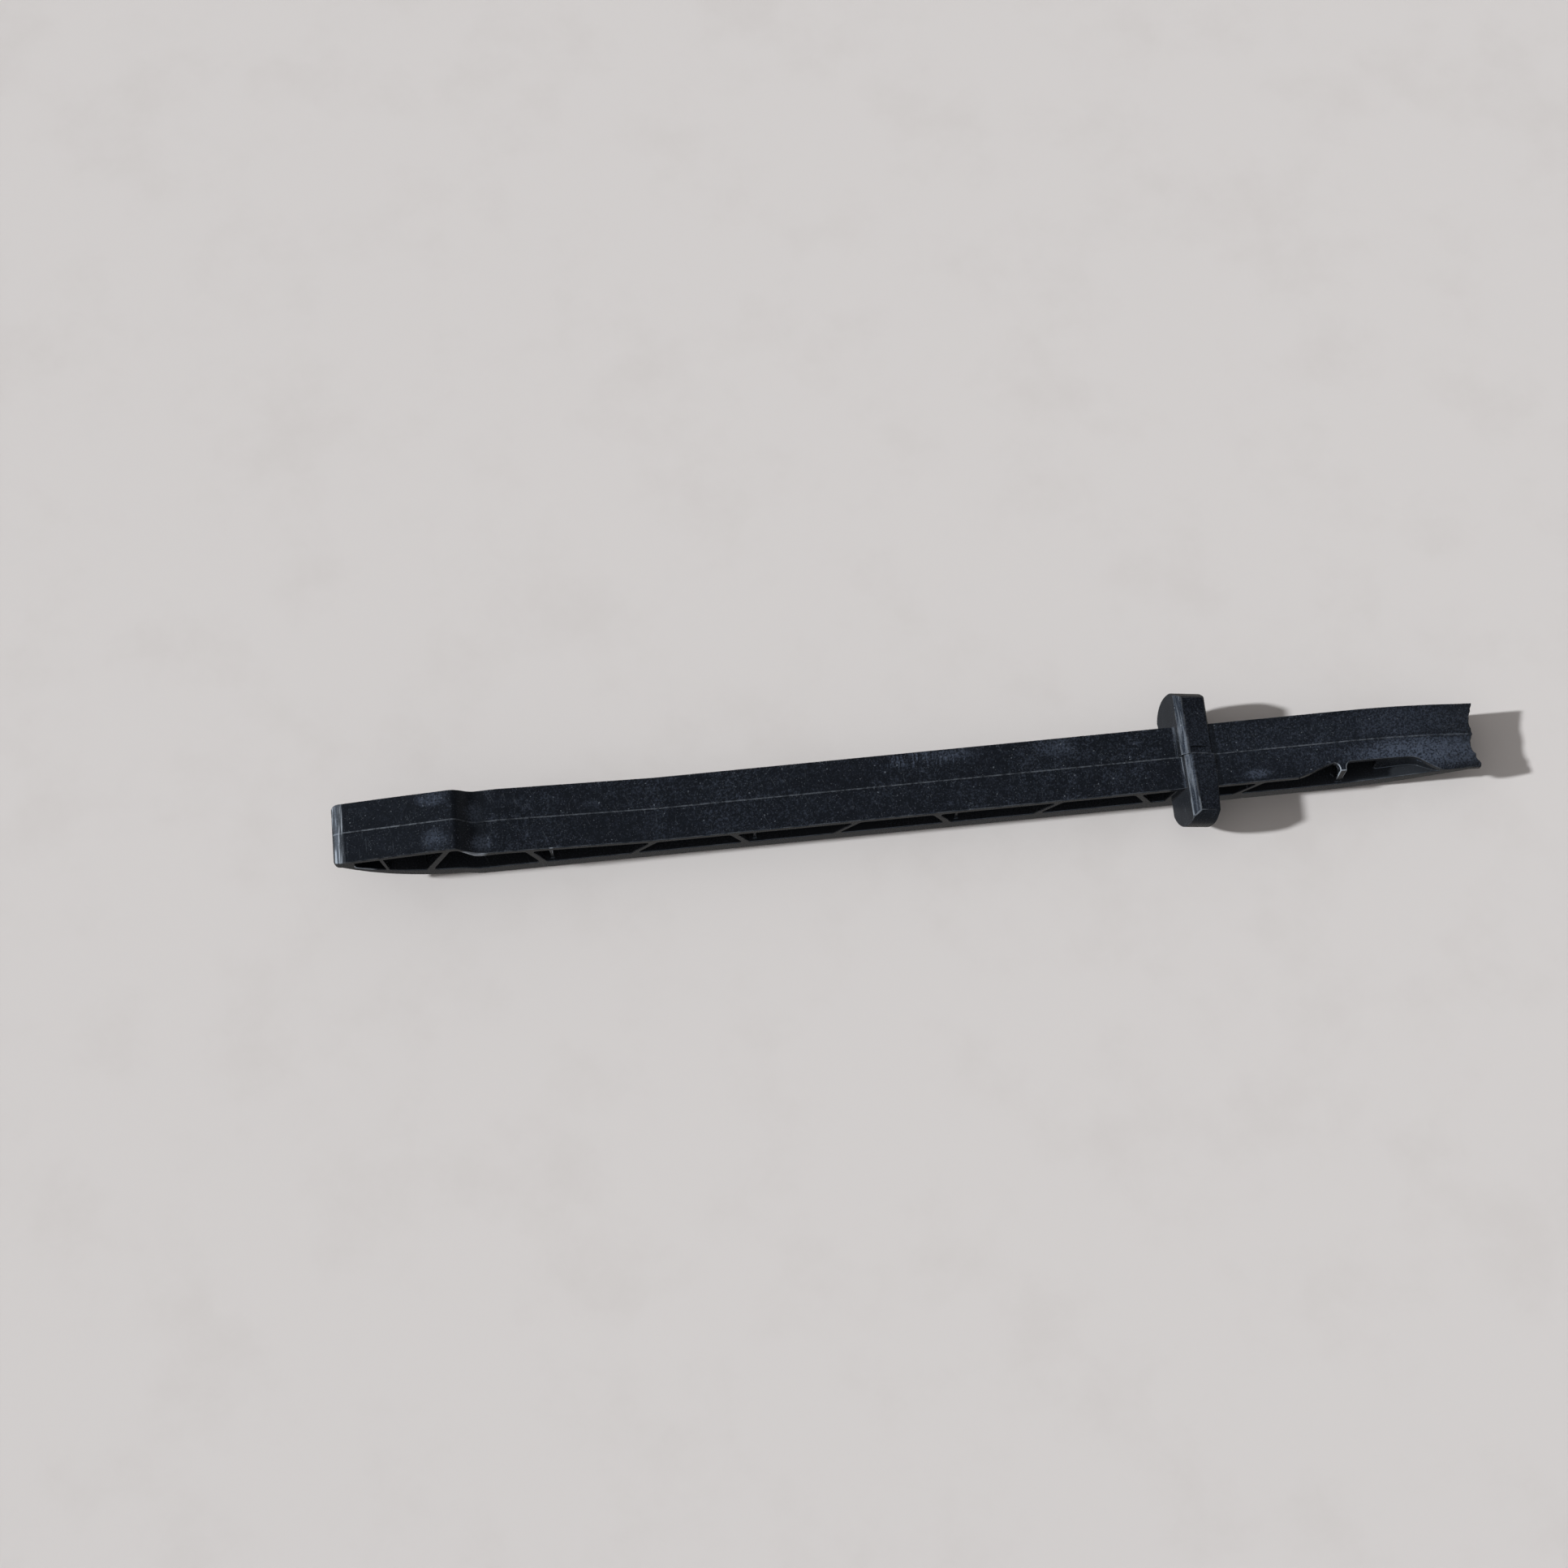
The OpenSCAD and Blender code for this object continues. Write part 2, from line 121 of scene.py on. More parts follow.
class Shader:
    """The node tree of a material or a world, filled through a single node method."""

    def __init__(self, owner: bpy.types.Material | bpy.types.World) -> None:
        """Starts with an empty tree.

        Args:
            owner: Material or world that has the tree.
        """
        owner.use_nodes = True
        self.owner = owner
        self.tree = owner.node_tree
        self.tree.nodes.clear()

    def node(
        self,
        kind: str,
        settings: dict[str, Any] | None = None,
        sockets: dict[int | str, Any] | None = None,
        output: int | str = 0,
    ) -> Flow | None:
        """Adds a node.

        Args:
            kind: Blender's type name of the node.
            settings: Properties that are set before the sockets.
            sockets: Values or flows for the inputs.
            output: Output that the returned flow stands for.

        Returns:
            The chosen output as a flow, or nothing for a node without outputs.
        """
        made = self.tree.nodes.new(kind)
        for key, value in (settings or {}).items():
            setattr(made, key, value)
        for key, value in (sockets or {}).items():
            if isinstance(value, Flow):
                self.tree.links.new(value.socket, made.inputs[key])
            else:
                made.inputs[key].default_value = value
        return Flow(self, made, output) if made.outputs else None

    def mix(self, share: Flow | float, base: Any, over: Any) -> Flow:
        """Lays one colour over another by a share."""
        return self.node("ShaderNodeMix", {"data_type": "RGBA"}, {0: share, 6: base, 7: over}, 2)

    def step(self, value: Flow, low: float, high: float) -> Flow:
        """A smooth step of a value from 0 at low to 1 at high."""
        return self.node(
            "ShaderNodeMapRange",
            {"interpolation_type": "SMOOTHSTEP"},
            {"Value": value, "From Min": low, "From Max": high},
        )

    def vector(self, operation: str, *terms: Any, output: str = "Vector") -> Flow:
        """One Vector Math node on one or two terms."""
        settings = {"operation": operation}
        return self.node("ShaderNodeVectorMath", settings, dict(enumerate(terms)), output)

    def axis(self, vector: Flow, name: str) -> Flow:
        """One part of a vector."""
        return self.node("ShaderNodeSeparateXYZ", None, {"Vector": vector}, name)

    def place(self) -> Flow:
        """Object coordinates."""
        return self.node("ShaderNodeTexCoord", output="Object")

    def turned(self, heading: Heading, stretch: Point) -> Flow:
        """Object coordinates turned about Z and stretched.

        Args:
            heading: Turn about Z.
            stretch: Scale along the turned axes.

        Returns:
            The mapped vector.
        """
        angle = (0.0, 0.0, math.radians(heading.value))
        round_z = self.node(
            "ShaderNodeMapping",
            {"vector_type": "TEXTURE"},
            {"Vector": self.place(), "Rotation": angle},
        )
        return self.node("ShaderNodeMapping", None, {"Vector": round_z, "Scale": stretch})

    def cloud(self, vector: Flow, scale: float, detail: float = 2.0, rough: float = 0.5) -> Flow:
        """Noise over a vector, as a value."""
        sockets = {"Vector": vector, "Scale": scale, "Detail": detail, "Roughness": rough}
        return self.node("ShaderNodeTexNoise", None, sockets)

    def finish(self, surface: Flow) -> bpy.types.Material | bpy.types.World:
        """Joins a surface to the output.

        Args:
            surface: Finished shader.

        Returns:
            The material or world that has the tree.
        """
        kind = "World" if isinstance(self.owner, bpy.types.World) else "Material"
        self.node(f"ShaderNodeOutput{kind}", None, {"Surface": surface})
        return self.owner


@dataclass(frozen=True)
class ScuffAndSheen:
    """A pale bluish patch on the back, partly a rubbed haze and partly a painted sheen where the
    back catches the light, in millimetres.
    """

    middle: tuple[float, float]
    reach: tuple[float, float]
    strength: float
    strokes: Heading | None = None

    def mask(self, s: Shader, place: Flow) -> Flow:
        """Share of the patch at a place.

        Args:
            s: Shader that takes the nodes.
            place: Object coordinates.

        Returns:
            A value that fades from the strength at the middle to 0 at the rim.
        """
        middle = (self.middle[0] * MM, self.middle[1] * MM, 0.0)
        spread = (1.0 / (self.reach[0] * MM), 1.0 / (self.reach[1] * MM), 0.0)
        away = s.vector("SUBTRACT", place, middle)
        length = s.vector("LENGTH", s.vector("MULTIPLY", away, spread), output="Value")
        share = self.strength * (1.0 - s.step(length, 0.25, 1.15))
        if self.strokes is None:
            return share
        drag = s.cloud(s.turned(self.strokes, (2600.0, 330.0, 330.0)), 1.0, 3.0, 0.6)
        return share * s.step(drag, 0.47, 0.64)


@dataclass(frozen=True)
class Glint:
    """A painted highlight: a place where the rounded edges, or the strip beside them, are painted
    pale where they catch the light, in millimetres.
    """

    middle: Point
    reach: Point
    strength: float
    beside_edge: bool = False

    def mask(self, s: Shader, place: Flow, edge: Flow) -> Flow:
        """Share of the glint at a place.

        Args:
            s: Shader that takes the nodes.
            place: Object coordinates.
            edge: How far the surface is a rounded edge.

        Returns:
            A value that fades from the strength at the middle to 0 at the rim.
        """
        away = s.vector("SUBTRACT", place, tuple(c * MM for c in self.middle))
        spread = tuple(1.0 / (c * MM) for c in self.reach)
        length = s.vector("LENGTH", s.vector("MULTIPLY", away, spread), output="Value")
        share = self.strength * (1.0 - s.step(length, 0.7, 1.1))
        return share if self.beside_edge else edge * share


@dataclass(frozen=True)
class BlackNylon:
    """Semi-matt black moulded nylon, dusty, lightly scuffed and rubbed along its edges, with painted
    highlights on its nose, lug and edges, painted sheen on the back and painted fill light on its
    sides.
    """

    tone: Colour = (0.0014, 0.0017, 0.0028)
    fleck_tone: Colour = (0.032, 0.039, 0.056)
    worn_tone: Colour = (0.040, 0.042, 0.045)
    # Pale tone of dust and of the painted highlights and fill light.
    dust_and_painted_light_tone: Colour = (0.25, 0.28, 0.32)
    # Bluish tone of the scuffed haze and of the painted sheen.
    haze_and_sheen_tone: Colour = (0.078, 0.097, 0.138)
    sheen_tone: Colour = (0.62, 0.77, 1.0)
    roughness: float = 0.26
    specular: float = 0.40
    ior: float = 1.5
    blotch_scale: float = 70.0
    thin_scale: float = 190.0
    rub_scale: float = 420.0
    mottle_scale: float = 640.0
    fleck_scale: float = 2300.0
    grain_scale: float = 5200.0
    line_stretch: Point = (2300.0, 130.0, 130.0)
    back_level: float = 6.3 * MM
    back_fade: float = 0.5 * MM
    shelf_low: float = 6.0 * MM
    shelf_high: float = 9.5 * MM
    seam_reach: float = 0.20 * MM
    rub_share: float = 0.75
    corner_dust: float = 0.015
    shelf_dust: float = 0.03
    # Painted fill light on the sides and in the bays.
    side_fill_light: float = 0.04
    scratch_dust: float = 0.06
    seam_paleness: float = 0.38
    seam_loss: float = 0.16
    # Painted highlight streaks on the lug's bevel.
    lug_highlight_streaks: float = 0.27
    # Painted highlight on the nose round, with streaks.
    tip_highlight: float = 0.14
    tip_highlight_streaks: float = 1.3
    relief_strength: float = 0.5
    relief_depth: float = 0.05 * MM
    # Partly rubbed haze, partly painted sheen where the crest, the dip and the lug top catch the
    # light.
    scuffs_and_sheen: tuple[ScuffAndSheen, ...] = (
        ScuffAndSheen((-99.3, 5.0), (3.6, 2.0), 0.5),
        ScuffAndSheen((-98.9, -3.8), (3.4, 2.6), 0.4),
        ScuffAndSheen((-90.8, 1.9), (2.4, 3.0), 0.6),
        ScuffAndSheen((-89.9, -4.6), (2.4, 2.2), 1.0),
        ScuffAndSheen((-66.3, 2.2), (2.6, 1.0), 0.2),
        ScuffAndSheen((4.0, 5.2), (13.0, 2.1), 0.9, Heading.ALONG),
        ScuffAndSheen((9.0, 5.6), (7.0, 1.5), 0.35),
        ScuffAndSheen((31.2, 4.8), (4.6, 2.4), 0.35),
        ScuffAndSheen((72.6, -5.2), (3.6, 1.4), 0.5),
        ScuffAndSheen((104.5, 1.6), (6.5, 1.8), 0.35),
        ScuffAndSheen((108.0, -3.4), (19.0, 4.4), 1.0),
        ScuffAndSheen((106.0, 3.6), (17.0, 5.0), 0.30),
        ScuffAndSheen((84.0, 0.5), (24.0, 8.0), 0.11),
        ScuffAndSheen((61.5, 0.0), (5.0, 16.0), 0.22),
    )
    # Painted highlights on edges that catch the light.
    glints: tuple[Glint, ...] = (
        Glint((-92.5, -6.9, 12.5), (3.8, 0.42, 3.0), 0.8, True),
        Glint((-115.5, -6.6, 9.4), (4.8, 1.2, 2.2), 1.0),
        Glint((-75.5, -6.6, 9.0), (0.7, 1.4, 4.0), 0.8),
        Glint((90.6, -5.5, 8.0), (1.7, 2.6, 3.4), 0.9),
        Glint((58.5, -11.5, 11.6), (2.6, 2.4, 2.0), 0.3),
        Glint((64.5, -11.0, 10.0), (1.2, 2.2, 2.0), 0.5),
    )
    streak_start: float = 40.0 * MM
    streak_fade: float = 5.0 * MM
    nose_part: float = -103.0 * MM
    nose_fade: float = 7.0 * MM
    tip_end: float = -117.5 * MM
    tip_fade: float = 0.7 * MM

    def make(self) -> bpy.types.Material:
        """Builds the material.

        Returns:
            The finished nylon.
        """
        s = Shader(bpy.data.materials.new("black_nylon"))
        place = s.place()
        up = self._facing_up(s)
        blotch = s.cloud(place, self.blotch_scale, 4.0, 0.55)
        fleck = s.cloud(place, self.fleck_scale, 3.0, 0.62)
        mottle = s.cloud(place, self.mottle_scale, 4.0, 0.65)
        grain = s.cloud(place, self.grain_scale, 2.0, 0.6)
        edge = s.node("ShaderNodeAttribute", {"attribute_name": "edge_wear"}, output="Fac")
        corner = s.node("ShaderNodeAttribute", {"attribute_name": "corner_dust"}, output="Fac")
        along = s.axis(place, "X")
        height_z = s.axis(place, "Z")
        low = 1.0 - s.step(height_z, self.shelf_low, self.shelf_high)
        on_back = up * s.step(height_z, self.back_level, self.back_level + self.back_fade)

        rubbed = edge * s.step(s.cloud(place, self.rub_scale, 3.0), 0.38, 0.62)
        # Painted sheen mixed with rubbed haze on the back.
        haze_and_sheen = on_back * self._haze_and_sheen(s, place, fleck, mottle)
        scratch = self._scratches(s)
        speck = on_back * self._specks(s)
        lines = s.cloud(s.turned(Heading.ALONG, self.line_stretch), 1.0, 2.0)
        by_lug = s.step(along, self.streak_start, self.streak_start + self.streak_fade)
        past_nose = s.step(along, self.nose_part, self.nose_part + self.nose_fade)
        slanted = up * self._facing_nose(s)
        streak = slanted * (0.2 + 0.8 * by_lug) * (lines - 0.5)
        drawn = s.step(lines, 0.50, 0.66)
        tip = up * (1.0 - s.step(along, self.tip_end - self.tip_fade, self.tip_end))
        off_seam = s.step(abs(s.axis(place, "Y")), 0.5 * self.seam_reach, self.seam_reach)
        seam = on_back * (1.0 - off_seam) * (0.2 + 0.8 * s.step(mottle, 0.36, 0.60))

        dense = (0.35 + 0.65 * s.step(blotch, 0.35, 0.70)) * (0.3 + 0.7 * past_nose)
        bright = dense * s.step(0.65 * fleck + 0.35 * mottle, 0.45, 0.73) * (0.12 + 0.88 * on_back)
        colour = s.mix(bright, (*self.tone, 1.0), (*self.fleck_tone, 1.0))
        colour = s.mix(self.rub_share * rubbed, colour, (*self.worn_tone, 1.0))
        colour = s.mix(haze_and_sheen, colour, (*self.haze_and_sheen_tone, 1.0))
        # Painted highlights on the rounded edges.
        glint = self._glints(s, place, edge)
        # Pale share: dust in corners, on low shelves, in scratches and specks, and a pale parting
        # line, plus painted highlights and painted fill light.
        pale_share = (
            self.corner_dust * corner
            + self.shelf_dust * low * up
            + self.scratch_dust * scratch
            + speck
            + glint
            # Painted highlight streaks on up-facing slopes that face the nose and the lamp, such as
            # the lug's bevel.
            + self.lug_highlight_streaks * by_lug * slanted * drawn
            # Painted highlight on the nose round.
            + tip * (self.tip_highlight + self.tip_highlight_streaks * drawn)
            # Pale line along the parting line, less of it past the nose.
            + seam * (self.seam_paleness - self.seam_loss * past_nose)
            # Painted fill light that lifts every surface off the back.
            + self.side_fill_light * (1.0 - on_back)
        )
        colour = s.mix(pale_share, colour, (*self.dust_and_painted_light_tone, 1.0))
        rough = (
            self.roughness
            + 0.14 * (blotch - 0.5)
            + 0.18 * (fleck - 0.5)
            + 0.12 * haze_and_sheen
            + 0.20 * speck
            - 0.05 * rubbed
        )
        height = (
            0.3 * grain
            + 0.5 * fleck
            + 0.2 * lines
            + 2.6 * streak
            - 0.4 * scratch
            + 0.5 * speck
        )
        bump = s.node(
            "ShaderNodeBump",
            None,
            {"Strength": self.relief_strength, "Distance": self.relief_depth, "Height": height},
        )
        return s.finish(
            s.node(
                "ShaderNodeBsdfPrincipled",
                None,
                {
                    "Base Color": colour,
                    "Roughness": rough,
                    "IOR": self.ior,
                    "Specular IOR Level": self.specular,
                    "Specular Tint": (*self.sheen_tone, 1.0),
                    "Normal": bump,
                },
            )
        )

    @staticmethod
    def _facing_up(s: Shader) -> Flow:
        """How far the surface faces up, where dust settles; it also masks the painted sheen and
        highlights.
        """
        return s.step(s.axis(s.node("ShaderNodeTexCoord", output="Normal"), "Z"), 0.25, 0.9)

    @staticmethod
    def _facing_nose(s: Shader) -> Flow:
        """How far the surface faces the nose end."""
        return s.step(-1.0 * s.axis(s.node("ShaderNodeTexCoord", output="Normal"), "X"), 0.15, 0.45)

    def _haze_and_sheen(self, s: Shader, place: Flow, fleck: Flow, mottle: Flow) -> Flow:
        """Pale bluish haze over the whole back, thicker in the patches, partly scuffing and partly a
        painted sheen.

        Args:
            s: Shader that takes the nodes.
            place: Object coordinates.
            fleck: Fine noise that breaks the haze up.
            mottle: Coarser noise that breaks the haze up.

        Returns:
            Share of the haze and painted sheen.
        """
        patches = self.scuffs_and_sheen[0].mask(s, place)
        for patch in self.scuffs_and_sheen[1:]:
            patches = patches.larger(patch.mask(s, place))
        broken = s.step(0.85 * fleck + 0.15 * mottle, 0.34, 0.68)
        thin = s.step(s.cloud(place, self.thin_scale, 5.0, 0.65), 0.48, 0.76)
        return patches * (0.12 + 0.88 * broken) + 0.06 * thin * fleck

    def _glints(self, s: Shader, place: Flow, edge: Flow) -> Flow:
        """Share of all the places where the edges are painted pale as highlights.

        Args:
            s: Shader that takes the nodes.
            place: Object coordinates.
            edge: How far the surface is a rounded edge.

        Returns:
            The largest share of any of them.
        """
        total = self.glints[0].mask(s, place, edge)
        for glint in self.glints[1:]:
            total = total.larger(glint.mask(s, place, edge))
        return total

    @staticmethod
    def _scratches(s: Shader) -> Flow:
        """Thin scratches in a few directions.

        Args:
            s: Shader that takes the nodes.

        Returns:
            Share of the scratches.
        """
        total = None
        for heading, fine, coarse, limit in (
            (Heading.RISING, 3800.0, 170.0, 0.70),
            (Heading.FALLING, 4000.0, 230.0, 0.71),
            (Heading.ACROSS, 160.0, 4000.0, 0.71),
            (Heading.ALONG, 3600.0, 320.0, 0.71),
        ):
            vector = s.turned(heading, (fine, coarse, 200.0))
            layer = s.step(s.cloud(vector, 1.0, 1.0), limit, limit + 0.07)
            total = layer if total is None else total.larger(layer)
        return total

    @staticmethod
    def _specks(s: Shader) -> Flow:
        """Pale specks of dust and grit, most of them tiny.

        Args:
            s: Shader that takes the nodes.

        Returns:
            Share of the specks.
        """
        total = None
        stir = s.cloud(s.place(), 2600.0, 2.0).out("Color")
        shift = s.vector("MULTIPLY", stir, (0.4 * MM, 0.4 * MM, 0.4 * MM))
        warped = s.vector("ADD", s.place(), shift)
        for scale, largest, rarity, share in (
            (3600.0, 0.50, 5.0, 0.12),
            (1500.0, 0.30, 12.0, 0.30),
        ):
            cells = s.node("ShaderNodeTexVoronoi", None, {"Vector": warped, "Scale": scale})
            chance = s.node("ShaderNodeSeparateColor", None, {"Color": cells.out("Color")})
            layer = share * s.step(largest * chance**rarity - cells, -0.04, 0.08)
            total = layer if total is None else total.larger(layer)
        return total


@dataclass(frozen=True)
class PaleFloor:
    """Matt pale floor with a faint mottle, which goes over into a plain backdrop far away."""

    tone: Colour = (0.640, 0.618, 0.612)
    dark_tone: Colour = (0.585, 0.560, 0.550)
    far_tone: Colour = (0.628, 0.606, 0.596)
    mottle_scale: float = 34.0
    mottle_share: float = 0.5
    roughness: float = 0.85
    specular: float = 0.2
    near_reach: float = 0.9
    far_reach: float = 2.3

    def make(self) -> bpy.types.Material:
        """Builds the material.

        Returns:
            The finished floor.
        """
        s = Shader(bpy.data.materials.new("pale_floor"))
        mottle = s.step(s.cloud(s.place(), self.mottle_scale, 5.0, 0.6), 0.45, 0.75)
        colour = s.mix(self.mottle_share * mottle, (*self.tone, 1.0), (*self.dark_tone, 1.0))
        lit = s.node(
            "ShaderNodeBsdfPrincipled",
            None,
            {
                "Base Color": colour,
                "Roughness": self.roughness,
                "Specular IOR Level": self.specular,
            },
        )
        plain = s.node("ShaderNodeEmission", None, {"Color": (*self.far_tone, 1.0)})
        level = s.vector("MULTIPLY", s.place(), (1.0, 1.0, 0.0))
        away = s.vector("LENGTH", level, output="Value")
        ray = s.node("ShaderNodeLightPath", output="Is Camera Ray")
        seen = ray.larger(ray.out("Is Glossy Ray")).larger(ray.out("Is Transmission Ray"))
        share = seen * s.step(away, self.near_reach, self.far_reach)
        return s.finish(s.node("ShaderNodeMixShader", None, {0: share, 1: lit, 2: plain}))


@dataclass
class GuideRail:
    """The moulded rail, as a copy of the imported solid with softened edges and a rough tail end."""

    node: str = "guide_rail"
    body: str = "root"
    slot: str = "nylon"
    merge_distance: float = 0.002 * MM
    flat_angle: float = math.radians(0.4)
    sharp_angle: float = math.radians(32.0)
    edge_radius: float = 0.2 * MM
    edge_segments: int = 2
    speck_length: float = 0.03 * MM
    sliver_length: float = 0.0001 * MM
    parting_reach: float = 0.2 * MM
    gate_low: Point = (58.4 * MM, 0.1 * MM, 10.8 * MM)
    gate_high: Point = (63.4 * MM, 1.9 * MM, 13.4 * MM)
    blend_limit: float = math.cos(math.radians(50.0))
    nose_tip: float = -120.2 * MM
    nose_middle: float = 12.6 * MM
    nose_round: float = 1.5 * MM
    nose_stretch: float = 1.55
    chip_start: float = 117.4 * MM
    chip_full: float = 118.6 * MM
    chip_floor: float = 5.3 * MM
    chip_depth: float = 0.22 * MM
    chip_pitch: float = 0.8 * MM
    chip_cuts: int = 2
    chip_row: float = 3.7
    chip_bias: float = 0.3
    trim_places: tuple[float, ...] = (-7.4, -6.0, -4.5, -2.9, -0.6, 2.8, 5.0, 7.0)
    trim_lengths: tuple[float, ...] = (0.1, 0.6, 1.1, 0.9, 0.5, 0.5, 0.9, 1.2)

    def build(self) -> bpy.types.Object:
        """Builds and dresses the rail.

        Returns:
            The finished piece.
        """
        mesh = bmesh.new()
        mesh.from_mesh(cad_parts[self.node].data)
        self._clean(mesh)
        self._round_nose(mesh)
        self._soften(mesh)
        self._chip_tail(mesh)
        bmesh.ops.dissolve_degenerate(mesh, dist=self.sliver_length, edges=mesh.edges)
        data = bpy.data.meshes.new("moulded_rail")
        mesh.to_mesh(data)
        mesh.free()
        data.shade_smooth()
        self._even_normals(data)
        rail = bpy.data.objects.new("moulded_rail", data)
        bpy.context.scene.collection.objects.link(rail)
        data.materials.append(BlackNylon().make())
        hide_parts(self.node)
        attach(rail, self.body)
        LOG.info("%s: %d faces", rail.name, len(data.polygons))
        return rail

    def _clean(self, mesh: bmesh.types.BMesh) -> None:
        """Joins the loose triangles and clears the seams between those that lie in one plane.

        Args:
            mesh: Mesh of the rail.
        """
        bmesh.ops.remove_doubles(mesh, verts=mesh.verts, dist=self.merge_distance)
        bmesh.ops.dissolve_limit(
            mesh, angle_limit=self.flat_angle, verts=mesh.verts, edges=mesh.edges
        )
        bmesh.ops.dissolve_degenerate(mesh, dist=self.speck_length, edges=mesh.edges)

    def _round_nose(self, mesh: bmesh.types.BMesh) -> None:
        """Draws the upper half of the nose's round further back, into a longer curve.

        Args:
            mesh: Mesh of the rail.
        """
        for vert in mesh.verts:
            back = vert.co.x - self.nose_tip
            if back < self.nose_round and vert.co.z > self.nose_middle:
                vert.co.x = self.nose_tip + self.nose_stretch * back

    def _is_sharp(self, edge: bmesh.types.BMEdge) -> bool:
        """Whether an edge is a corner of the moulding that gets a radius.

        Args:
            edge: Edge of the rail's mesh.

        Returns:
            True for a sharp edge outside the gate recess and off the parting line.
        """
        if not edge.is_manifold or abs(edge.calc_face_angle_signed()) < self.sharp_angle:
            return False
        if all(self._in_gate(v.co) for v in edge.verts):
            return False
        return max(abs(v.co.y) for v in edge.verts) > self.parting_reach

    def _in_gate(self, point: Vector) -> bool:
        """Whether a point belongs to the shallow gate recess, whose edges are left crisp."""
        return all(low < c < high for low, c, high in zip(self.gate_low, point, self.gate_high))

    def _soften(self, mesh: bmesh.types.BMesh) -> None:
        """Rounds the sharp edges and notes which strips are worn edges, on which the painted glints
        also lie, and which are corners where dust gathers.

        Args:
            mesh: Mesh of the rail.
        """
        made = bmesh.ops.bevel(
            mesh,
            geom=[e for e in mesh.edges if self._is_sharp(e)],
            offset=self.edge_radius,
            offset_type="OFFSET",
            affect="EDGES",
            segments=self.edge_segments,
            profile=0.5,
            material=-1,
            clamp_overlap=False,
            loop_slide=True,
        )
        worn = mesh.loops.layers.float.new("edge_wear")
        pale_share = mesh.loops.layers.float.new("corner_dust")
        for face in made["faces"]:
            bend = sum(e.calc_face_angle_signed(0.0) * e.calc_length() for e in face.edges)
            for loop in face.loops:
                loop[worn if bend > 0 else pale_share] = 1.0

    def _chip_tail(self, mesh: bmesh.types.BMesh) -> None:
        """Breaks up the outline of the tail end, where the moulding was trimmed by hand.

        Args:
            mesh: Mesh of the rail.
        """
        across = [
            e
            for e in mesh.edges
            if min(v.co.x for v in e.verts) > self.chip_start
            and min(v.co.z for v in e.verts) > self.chip_floor
            and abs(e.verts[0].co.y - e.verts[1].co.y) > self.chip_pitch / 2
        ]
        bmesh.ops.subdivide_edges(mesh, edges=across, cuts=self.chip_cuts)
        for vert in mesh.verts:
            share = (vert.co.x - self.chip_start) / (self.chip_full - self.chip_start)
            if share > 0 and vert.co.z > self.chip_floor:
                rough = noise.noise((vert.co.y / self.chip_pitch, 0.0, self.chip_row))
                ragged = self.chip_depth * (rough - self.chip_bias)
                longer = MM * self._trim(vert.co.y / MM) + ragged
                vert.co.x += min(share, 1.0) * longer

    def _trim(self, place: float) -> float:
        """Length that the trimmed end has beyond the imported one.

        Args:
            place: Place across the rail in millimetres.

        Returns:
            The extra length in millimetres, on a line between the two known places beside it.
        """
        known = list(zip(self.trim_places, self.trim_lengths))
        for (low, at_low), (high, at_high) in zip(known, known[1:]):
            if place <= high:
                share = max(0.0, (place - low) / (high - low))
                return at_low + share * (at_high - at_low)
        return known[-1][1]

    def _even_normals(self, data: bpy.types.Mesh) -> None:
        """Gives each corner the normal of the largest faces beside it, so flat faces stay flat.

        Args:
            data: Mesh of the rail.
        """
        beside: list[list[int]] = [[] for _ in data.vertices]
        for face in data.polygons:
            for index in face.vertices:
                beside[index].append(face.index)
        normals = []
        for face in data.polygons:
            for index in face.vertices:
                near = [data.polygons[i] for i in beside[index]]
                near = [f for f in near if f.normal.dot(face.normal) > self.blend_limit]
                total = sum((f.area**2 * f.normal for f in near), Vector())
                normals.append(total.normalized() if total.length > 0 else face.normal)
        data.normals_split_custom_set(normals)


